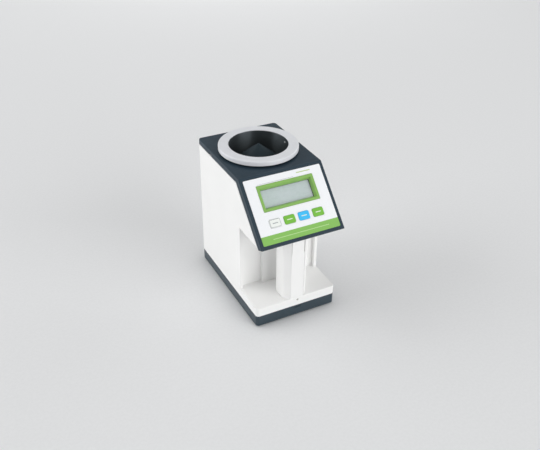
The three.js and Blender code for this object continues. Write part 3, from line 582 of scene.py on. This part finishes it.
def key(number):
    """A key with softened edges, and a plain printed mark in place of its legend."""
    node = f"key_{number}"
    low, high = panel_corners(node)
    flange, ink, line = 1.2, 0.04, 0.5
    half_length, half_width = 4, 0.6
    bm = moved(cad_solid(node), PANEL_BACK)
    standing_for(moved(softened(bm, 0.18, steps=2), PANEL), node)
    if number == 1:
        outer = rounded(inside(low, high, flange + line), 1.6)
        inner = rounded(inside(low, high, flange + 2 * line), 1.1)
        outline = hoop(outer, inner, high.z, high.z + ink)
        finished(moved(outline, PANEL), "key_1_outline", node, [INK_GREY])
    x, y = (low.x + high.x) / 2, (low.y + high.y) / 2
    bar = rounded(rectangle(x - half_length, x + half_length, y - half_width, y + half_width), 0.5)
    mark = prism(bar, high.z, high.z + ink)
    finished(moved(mark, PANEL), f"{node}_mark", node, [INK_GREY if number == 1 else INK_WHITE])


# ------------------------------------------------------------------ measuring cell

RING_LOW, RING_HIGH = corners("cell_ring")
AXIS = ((RING_LOW.x + RING_HIGH.x) / 2, (RING_LOW.y + RING_HIGH.y) / 2)
RING_RADIUS = (RING_HIGH.x - RING_LOW.x) / 2
WALL_RADIUS = corners("cell_wall")[1].x
BORE = WALL_RADIUS - 2
GAP = 0.3                          # the play between pieces of the cell that fit into each other


def cell_ring():
    """The ring stands over the wall's top, with a wide round edge outside."""
    low, high = RING_LOW.z, RING_HIGH.z
    step = corners("cell_wall")[1].z + GAP
    outline = rounded([(BORE, step), (BORE, high), (RING_RADIUS, high), (RING_RADIUS, low),
                       (WALL_RADIUS + GAP, low), (WALL_RADIUS + GAP, step)],
                      [0.2, 0.4, 1.8, 0.4, 0.2, 0], 8)
    standing_for(lathe(outline, AXIS, 160), "cell_ring")


def cell_wall():
    low, high = corners("cell_wall")
    outline = rounded([(BORE, low.z), (WALL_RADIUS, low.z), (WALL_RADIUS, high.z), (BORE, high.z)],
                      [0.2, 0.3, 0.2, 0.2])
    standing_for(lathe(outline, AXIS, 160), "cell_wall", materials=[BORE_FINISH])


def cell_floor():
    """A flange under the wall, with a plug that fits the bore."""
    low, high = corners("cell_floor")
    fit, flange = BORE - GAP, low.z + 3.7
    outline = rounded([(0, low.z), (high.x, low.z), (high.x, flange), (fit, flange), (fit, high.z),
                       (0, high.z)], [0, 0.4, 0.3, 0, 0.4, 0])
    standing_for(lathe(outline, AXIS), "cell_floor")


def centre_electrode():
    """A cup turned upside down."""
    low, high = corners("centre_electrode")
    radius, wall = high.x, 2.4
    outline = rounded([(radius - wall, low.z), (radius, low.z), (radius, high.z), (0, high.z),
                       (0, high.z - wall), (radius - wall, high.z - wall)], [0.2, 0.3, 0.4, 0, 0, 0.5])
    standing_for(lathe(outline, AXIS), "centre_electrode")


def cone_cap():
    """The cone, whose tip is part of a ball that meets its side smoothly at the nose radius."""
    low, high = corners("cone_cap")
    foot, radius = low.z, high.x
    base, slope, nose, steps = foot + 1, 0.82, 1.5, 8
    outline = [(0, foot)] + rounded([(0, foot), (radius, foot), (radius, base), (0, base + slope * radius)],
                                    [0, 0.2, 0.4, 0])[1:-1]
    ball = nose * math.hypot(1, 1 / slope)
    ball_z = base + slope * (radius - nose) - nose / slope
    start = math.atan(1 / slope)
    for step in range(steps):
        angle = start + (math.pi / 2 - start) * step / steps
        outline.append((ball * math.cos(angle), ball_z + ball * math.sin(angle)))
    outline.append((0, ball_z + ball))
    standing_for(lathe(outline, AXIS), "cone_cap")


def temperature_probe():
    """A thin rod with a round end."""
    low, high = corners("temperature_probe")
    centre = ((low.x + high.x) / 2, (low.y + high.y) / 2)
    radius = (high.x - low.x) / 2
    outline = rounded([(0, low.z), (radius, low.z), (radius, high.z), (0, high.z)],
                      [0, 0.2, radius * 0.95, 0], 8)
    standing_for(lathe(outline, centre, 32), "temperature_probe")


def cell_pins():
    """Pins with a dull pale zinc skin, which shows against the dark wall."""
    for number in (1, 2):
        node = f"cell_pin_{number}"
        standing_for(softened(cad_solid(node), 0.2, steps=2), node, materials=[ZINC])


# ------------------------------------------------------------------ back

def battery_door():
    """The door's edges are softened, but not those of its hinge."""
    above_hinge = corners("battery_door")[0].z + 4.4
    shortest = 1.5

    def outside(edge):
        return middle_of(edge).z > above_hinge and edge.calc_length() > shortest
    standing_for(softened(cad_solid("battery_door"), 0.35, outside), "battery_door")


def rating_plate():
    """The plate is blank. Its printed border line stands a little proud of it."""
    low, high = corners("rating_plate")
    turn = Matrix.Translation((0, high.y, 0)) @ Matrix.Rotation(math.pi / 2, 4, "X")
    proud, margin, line = 0.02, 1.5, 0.4
    ends = low.xz, high.xz
    plate = moved(prism(rounded(inside(*ends, 0), 1.0), proud, high.y - low.y), turn)
    standing_for(softened(plate, 0.08, steps=2), "rating_plate")
    outer = rounded(inside(*ends, margin), 0.8)
    inner = rounded(inside(*ends, margin + line), 0.5)
    finished(moved(hoop(outer, inner, 0, 2 * proud), turn), "plate_border", "rating_plate", [INK_GREY])


def battery(number):
    """A cell lying along X: a sleeve with a band at the nub end, and bare steel at both ends."""
    node = f"battery_{number}"
    low, high = corners(node)
    radius, half, middle = (high.z - low.z) / 2, (high.x - low.x) / 2, (low + high) / 2
    nub, nub_length, band = 2.7, 1.1, 13.0
    crimp, bare, sunk = radius - 0.9, radius - 1.1, 0.3
    tip = [v.co / MM - middle for v in frame["nodes"][node].data.vertices if v.co.x / MM > high.x - 0.1]
    turn = math.pi / 2 if max(math.hypot(p.y, p.z) for p in tip) < nub + 0.5 else -math.pi / 2
    shoulder = half - nub_length
    outline = rounded([(0, -half), (bare, -half), (crimp, 0.5 - half), (radius - 0.6, 0.1 - half),
                       (radius, 0.1 - half), (radius, shoulder - band), (radius, shoulder),
                       (radius - 0.8, shoulder), (bare, shoulder - sunk), (nub, shoulder - sunk),
                       (nub, half), (0, half)],
                      [0, 0.3, 0.1, 0.1, 0.5, 0, 0.5, 0.1, 0.1, 0.2, 0.4, 0])
    bm = lathe(outline, segments=64)
    for face in bm.faces:
        spot = face.calc_center_median()
        covered = math.hypot(spot.x, spot.y) > crimp
        face.material_index = 0 if not covered else 2 if spot.z > shoulder - band else 1
    moved(bm, Matrix.Translation(middle) @ Matrix.Rotation(turn, 4, "Y"))
    standing_for(bm, node, materials=[LOOKS["frame_steel"], LOOKS["battery_sleeve"], SLEEVE_BAND])


def contact_spring(number):
    """A conical coil, widest on its contact plate and narrowest against its cell."""
    node = f"contact_spring_{number}"
    low, high = corners(node)
    wire, turns, steps, sides = 0.35, 2.5, 80, 10
    wide, narrow = 5.0, 3.0
    out = 1 if low.x > 0 else -1
    start, end = (high.x - wire, low.x + wire) if out > 0 else (low.x + wire, high.x - wire)
    cell_low, cell_high = corners(f"battery_{number}")
    centre = (cell_low + cell_high) / 2

    def along(t):
        angle, radius = 2 * math.pi * turns * t, wide + (narrow - wide) * t
        x = start + (end - start) * t
        return Vector((x, centre.y + out * radius * math.cos(angle), centre.z + radius * math.sin(angle)))
    bm = bmesh.new()
    rings = []
    small = 1e-4
    for step in range(steps + 1):
        t = step / steps
        forward = (along(t + small) - along(t - small)).normalized()
        sideways = forward.cross(Vector((1, 0, 0))).normalized()
        upward = sideways.cross(forward)
        angles = [2 * math.pi * i / sides for i in range(sides)]
        rings.append([bm.verts.new(along(t) + wire * (math.cos(a) * sideways + math.sin(a) * upward))
                      for a in angles])
    for first, second in zip(rings, rings[1:]):
        for i in range(sides):
            j = (i + 1) % sides
            bm.faces.new((first[i], first[j], second[j], second[i]))
    bm.faces.new(rings[0])
    bm.faces.new(rings[-1])
    standing_for(bm, node)


# ------------------------------------------------------------------ small pieces that keep their CAD shape

def soften_small_pieces():
    """Each remaining CAD piece gets a copy of its own shape with softened edges."""
    for node, part in list(frame["nodes"].items()):
        if not part.hide_render:
            standing_for(softened(cad_solid(node), 0.15, steps=2), node)


# ------------------------------------------------------------------ floor, light and camera

def floor():
    """A plain pale sheet, seven metres across."""
    bm = bmesh.new()
    bmesh.ops.create_grid(bm, x_segments=1, y_segments=1, size=3.5)
    mesh = bpy.data.meshes.new("floor")
    bm.to_mesh(mesh)
    bm.free()
    look = Look("floor_paper").put(Specular_IOR_Level=0.2)
    look.colour(look.ramp(look.noise(4.0, 1.0), srgb(230, 231, 232), srgb(232, 233, 234)))
    look.roughness(look.spread(look.noise(8.0), 0.8, 0.84))
    mesh.materials.append(look.material)
    piece = bpy.data.objects.new("floor", mesh)
    bpy.context.scene.collection.objects.link(piece)


def area_light(name, place, target, size, power):
    """A round soft lamp. Places and size are in metres, power is in watts."""
    lamp = bpy.data.lights.new(name, "AREA")
    lamp.shape = "DISK"
    lamp.size = size
    lamp.energy = power
    piece = bpy.data.objects.new(name, lamp)
    piece.location = place
    piece.rotation_euler = (Vector(target) - Vector(place)).to_track_quat("-Z", "Y").to_euler()
    bpy.context.scene.collection.objects.link(piece)


def lights():
    world = bpy.data.worlds.new("soft_room")
    world.use_nodes = True
    world.node_tree.nodes["Background"].inputs["Color"].default_value = (1.0, 1.0, 1.0, 1.0)
    world.node_tree.nodes["Background"].inputs["Strength"].default_value = 0.33
    bpy.context.scene.world = world
    middle = (0, 0, 0.1)
    area_light("key_from_front_right", (2.8, -5.5, 1.7), middle, 6.4, 302)
    area_light("fill_from_left", (-6.4, 2.2, 2.1), middle, 6.4, 280)
    area_light("rim_from_right", (6.4, 0.4, 2.1), middle, 6.4, 80)
    area_light("soft_from_above", (0.0, 0.0, 6.1), middle, 6.4, 56)
    area_light("fill_from_back_left", (-3.6, 5.2, 4.1), middle, 5.6, 96)
    area_light("glow_on_far_floor", (0.9, 2.0, 0.8), (0.9, 2.0, 0.0), 1.2, 3)


def camera():
    """The viewpoint: above, to the front left, looking down on the panel and the cell."""
    yaw, pitch, roll = (math.radians(a) for a in (-27.640, 32.797, 0.7657))
    forward = Vector((-math.sin(yaw) * math.cos(pitch), math.cos(yaw) * math.cos(pitch), -math.sin(pitch)))
    level = forward.cross(Vector((0, 0, 1))).normalized()
    upright = level.cross(forward)
    right = math.cos(roll) * level + math.sin(roll) * upright
    up = -math.sin(roll) * level + math.cos(roll) * upright
    data = bpy.data.cameras.new("camera")
    data.sensor_width = 36.0
    data.lens = 47.607
    piece = bpy.data.objects.new("camera", data)
    place = (-0.40123, -0.77098, 0.66305)
    turn = Matrix((right, up, -forward)).transposed().to_4x4()
    piece.matrix_world = Matrix.Translation(place) @ turn
    bpy.context.scene.collection.objects.link(piece)
    bpy.context.scene.camera = piece


# ------------------------------------------------------------------ the whole

bpy.context.scene.view_settings.view_transform = "Standard"
camera()
lights()
floor()

base_tray()
feet()
main_housing()
grip()
top_cover()
panel_label()
display()
for number in range(1, 5):
    key(number)
cell_ring()
cell_wall()
cell_floor()
centre_electrode()
cone_cap()
temperature_probe()
cell_pins()
battery_door()
rating_plate()
for number in range(1, 5):
    battery(number)
    contact_spring(number)
soften_small_pieces()
